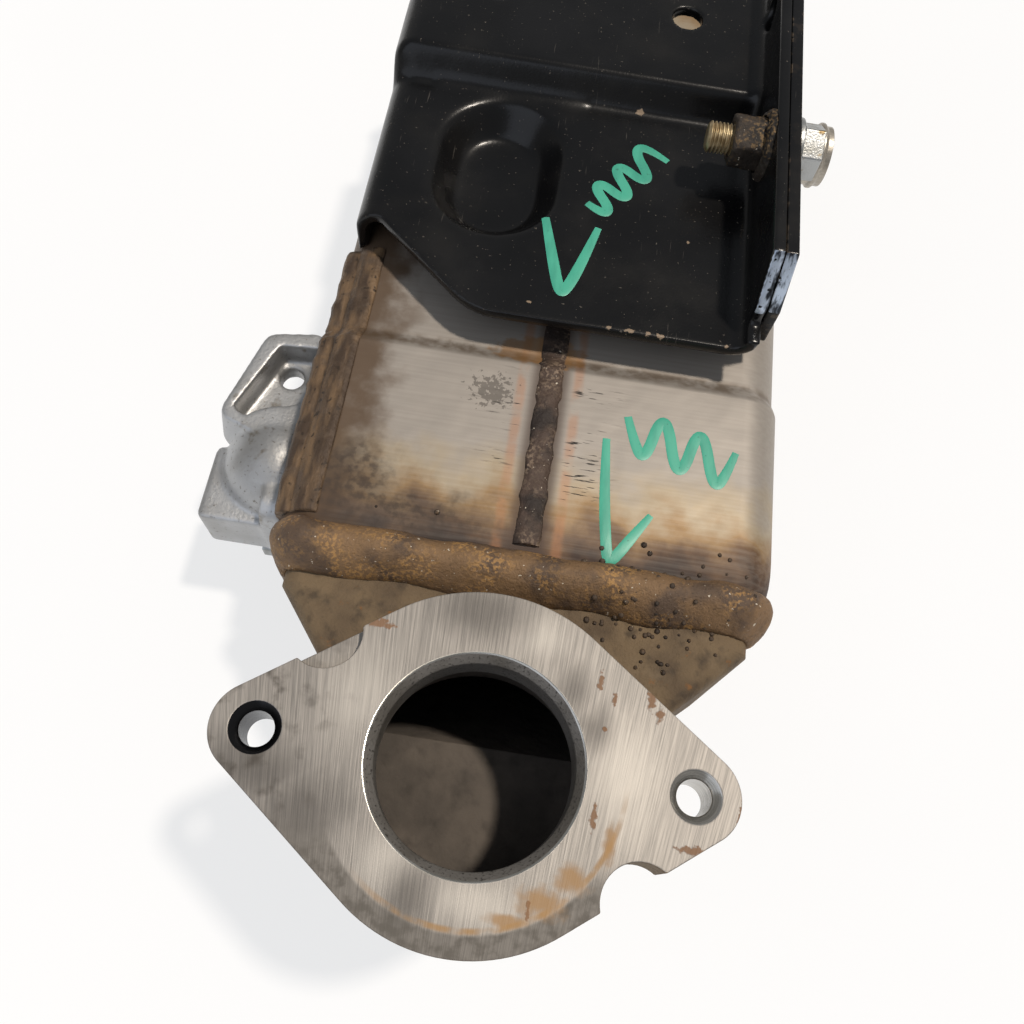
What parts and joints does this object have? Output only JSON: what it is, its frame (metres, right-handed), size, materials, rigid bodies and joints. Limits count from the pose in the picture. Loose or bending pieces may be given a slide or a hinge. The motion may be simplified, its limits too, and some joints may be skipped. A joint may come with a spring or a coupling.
{
  "type": "exhaust gas recirculation cooler",
  "caption": "Welded stainless exhaust gas cooler with a cast inlet elbow and flange, flat-tube core, aluminium coolant housing, hose pipe and a black folded support bracket.",
  "frame": {"origin": "middle of the gas inlet bore, on the flange's sealing face", "axes": "+Z out of the sealing face, +Y along the cooler towards its far flange, +X along the two inlet bolt holes"},
  "size_m": [0.221, 0.44, 0.1393],
  "materials": {
    "cast_steel": "rough cast steel with milled faces",
    "weld_bead": "brown scaled weld metal",
    "stainless_sheet": "brushed stainless sheet with heat tint",
    "aluminium_casting": "matte as-cast aluminium",
    "black_coating": "satin black coating",
    "zinc_steel": "dull zinc-plated steel",
    "gasket": "dark moulded gasket"
  },
  "bodies": {
    "root": {"inlet_elbow": "cast_steel", "inlet_weld": "weld_bead", "shell": "stainless_sheet", "top_seam_weld": "weld_bead", "corner_seam_weld": "weld_bead", "front_header": "stainless_sheet", "far_header": "stainless_sheet", "gas_tubes": "stainless_sheet", "tube_fins": "stainless_sheet", "tube_supports": "stainless_sheet", "coolant_pad": "stainless_sheet", "coolant_gasket": "gasket", "coolant_housing": "aluminium_casting", "housing_bolts": "zinc_steel", "outlet_pipe": "stainless_sheet", "outlet_pipe_weld": "weld_bead", "outlet_tank": "stainless_sheet", "outlet_weld": "weld_bead", "outlet_flange": "cast_steel", "outlet_flange_weld": "weld_bead", "bracket": "black_coating", "bracket_outer_plate": "black_coating", "clamp_bolt": "zinc_steel", "weld_nut": "zinc_steel", "nut_weld": "weld_bead"}
  },
  "joints": []
}
